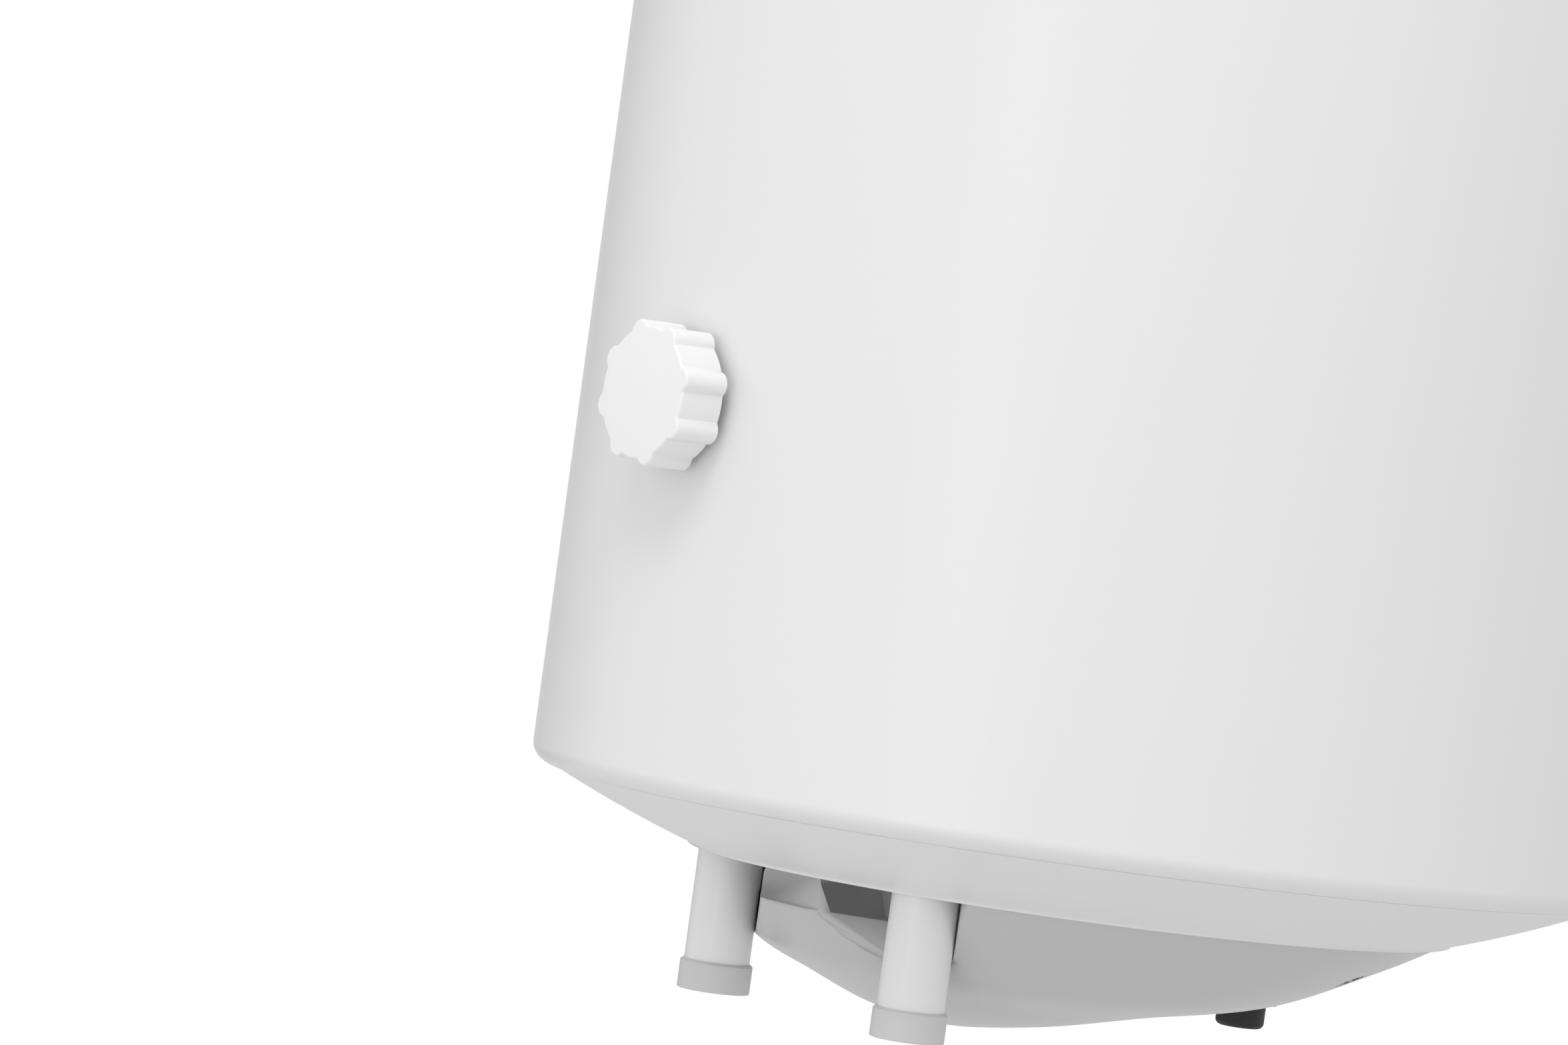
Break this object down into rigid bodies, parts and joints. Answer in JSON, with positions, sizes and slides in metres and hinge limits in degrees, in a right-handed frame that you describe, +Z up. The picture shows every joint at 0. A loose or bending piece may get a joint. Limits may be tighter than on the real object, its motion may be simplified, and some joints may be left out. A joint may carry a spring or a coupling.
{
  "type": "tank water heater",
  "caption": "Slim wall-hung electric storage water heater: round shell with dished ends, lobed temperature knob on the front, two pipe stubs and a bowl-shaped electrical cover underneath.",
  "frame": {"origin": "on the wall, at the centre of the two slots of the upper wall bracket", "axes": "+Z up along the shell, +Y into the wall, -Y towards the knob, +X to the right as seen from the front"},
  "size_m": [0.3529, 0.3833, 0.8398],
  "materials": {
    "white_enamel": "glossy white baked enamel on steel sheet",
    "white_pipe_paint": "satin white powder coat on steel tube",
    "pipe_collar_plastic": "moulded light grey polypropylene",
    "knob_plastic": "white moulded ABS",
    "cover_plastic": "light grey moulded ABS",
    "foam": "rigid polyurethane foam",
    "tank_enamel": "dark blue glass-lined steel",
    "black_rubber": "moulded EPDM",
    "zinc_steel": "bright zinc plated steel",
    "bracket_steel": "white powder coat on bent steel strap",
    "stainless": "drawn stainless tube",
    "copper": "drawn copper",
    "brass": "turned and stamped brass",
    "magnesium": "cast magnesium",
    "white_plastic": "moulded polyamide",
    "black_plastic": "moulded glass-filled polyamide",
    "red_plastic": "moulded red button",
    "wire_brown": "silicone insulated lead",
    "wire_blue": "silicone insulated lead",
    "wire_earth": "silicone insulated lead"
  },
  "bodies": {
    "heater": {"anode_nut": "zinc_steel", "anode_rod": "magnesium", "bottom_pan": "white_enamel", "bush_nut": "zinc_steel", "cable_gland": "black_plastic", "capillary_tube": "copper", "cold_diffuser": "white_plastic", "cold_inlet_pipe": "white_pipe_paint", "cold_pipe_collar": "pipe_collar_plastic", "cover_screws": "zinc_steel", "cutout_tabs": "brass", "earth_screw": "zinc_steel", "electrical_cover": "cover_plastic", "element_bushings": "brass", "element_terminals": "brass", "flange_gasket": "black_rubber", "flange_neck": "tank_enamel", "flange_nuts": "zinc_steel", "flange_plate": "zinc_steel", "flange_studs": "zinc_steel", "foam_insulation": "foam", "gland_nut": "black_plastic", "hanger_nuts": "zinc_steel", "hanger_studs": "zinc_steel", "heating_element": "copper", "hot_outlet_pipe": "white_pipe_paint", "hot_pipe_collar": "pipe_collar_plastic", "hot_standpipe": "stainless", "outer_shell": "white_enamel", "pipe_grommets": "black_rubber", "regulator_body": "black_plastic", "regulator_housing": "white_plastic", "sensor_bulb": "copper", "sensor_pocket": "copper", "tank_barrel": "tank_enamel", "tank_bottom_head": "tank_enamel", "tank_top_head": "tank_enamel", "terminal_block": "white_plastic", "terminal_screws": "brass", "thermal_cutout": "black_plastic", "top_cap": "white_enamel", "wall_bracket_lower": "bracket_steel", "wall_bracket_upper": "bracket_steel", "wire_earth": "wire_earth", "wire_element_cutout": "wire_brown", "wire_live": "wire_brown", "wire_neutral": "wire_blue", "wire_regulator_back": "wire_blue", "wire_regulator_out": "wire_brown"},
    "knob": {"knob": "knob_plastic", "regulator_spindle": "zinc_steel", "knob_clip": "zinc_steel"},
    "reset": {"reset_button": "red_plastic"}
  },
  "joints": [
    {"name": "knob_turn", "type": "hinge", "parent": "heater", "child": "knob", "pos_m": [0, -0.3735, -0.4787], "axis": [0, 1, 0], "range_deg": [0, 270]},
    {"name": "reset_press", "type": "slide", "parent": "heater", "child": "reset", "axis": [0, 0, 1], "range_m": [0, 0.002], "stiffness_N_per_m": 400}
  ]
}
